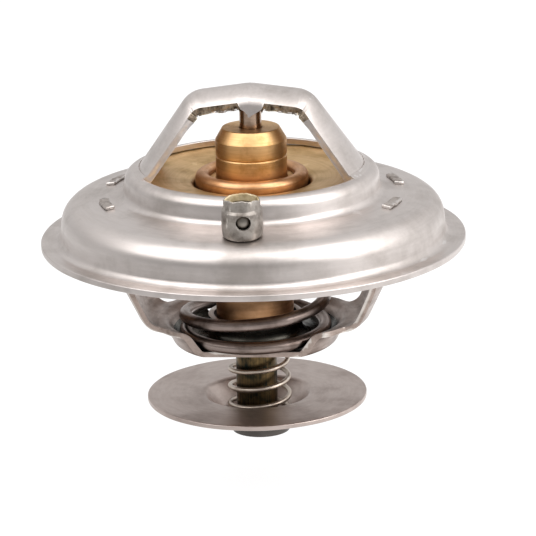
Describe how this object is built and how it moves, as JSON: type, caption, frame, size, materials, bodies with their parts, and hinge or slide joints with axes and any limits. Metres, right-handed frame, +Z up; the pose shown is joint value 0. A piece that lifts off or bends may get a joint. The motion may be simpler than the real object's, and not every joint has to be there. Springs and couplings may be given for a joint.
{
  "type": "engine thermostat",
  "caption": "Flanged wax-element engine thermostat with a bridge over its valve, a lower frame with a coil spring, a vent cage on the flange and a sprung bypass disc on a stem.",
  "frame": {"origin": "centre of the flange rim's underside", "axes": "+Z up through the piston towards the bridge, +X along the bridge and the lower frame's legs, -Y towards the vent cage"},
  "size_m": [0.067, 0.067, 0.057],
  "materials": {
    "flange_steel": "satin pressed sheet",
    "frame_steel": "dull pressed sheet",
    "piston_steel": "ground",
    "vent_steel": "drawn sheet",
    "ball_steel": "ground",
    "plate_brass": "matte pressed sheet",
    "guide_brass": "polished, turned",
    "cup_copper": "drawn copper alloy",
    "rubber": "matte",
    "ring_plastic": "matte",
    "wax": "wax with metal powder",
    "spring_steel": "dull wire",
    "stem_brass": "dark patina",
    "disc_steel": "satin pressed sheet",
    "black_steel": "blackened"
  },
  "bodies": {
    "housing": {"flange_and_bridge": "flange_steel", "lower_frame": "frame_steel", "piston": "piston_steel", "vent_cage": "vent_steel", "main_spring": "spring_steel"},
    "element": {"valve_plate": "plate_brass", "piston_guide": "guide_brass", "element_cup": "cup_copper", "piston_seal": "rubber", "back_up_ring": "ring_plastic", "rubber_boot": "rubber", "wax_charge": "wax", "bypass_stem": "stem_brass", "bypass_spring": "spring_steel", "stem_washer": "black_steel", "stem_clip": "black_steel"},
    "bypass_disc": {"bypass_disc": "disc_steel"},
    "vent_ball": {"vent_ball": "ball_steel"}
  },
  "joints": [
    {"name": "valve_lift", "type": "slide", "parent": "housing", "child": "element", "axis": [0, 0, -1], "range_m": [0, 0.008], "stiffness_N_per_m": 2000, "springref_m": -0.01, "deforming": ["main_spring"]},
    {"name": "bypass_lift", "type": "slide", "parent": "element", "child": "bypass_disc", "axis": [0, 0, 1], "range_m": [0, 0.005], "stiffness_N_per_m": 300, "springref_m": -0.004, "deforming": ["bypass_spring"]},
    {"name": "vent_ball_lift", "type": "slide", "parent": "housing", "child": "vent_ball", "axis": [0.0017, -0.1219, 0.9925], "range_m": [0, 0.0015]}
  ]
}
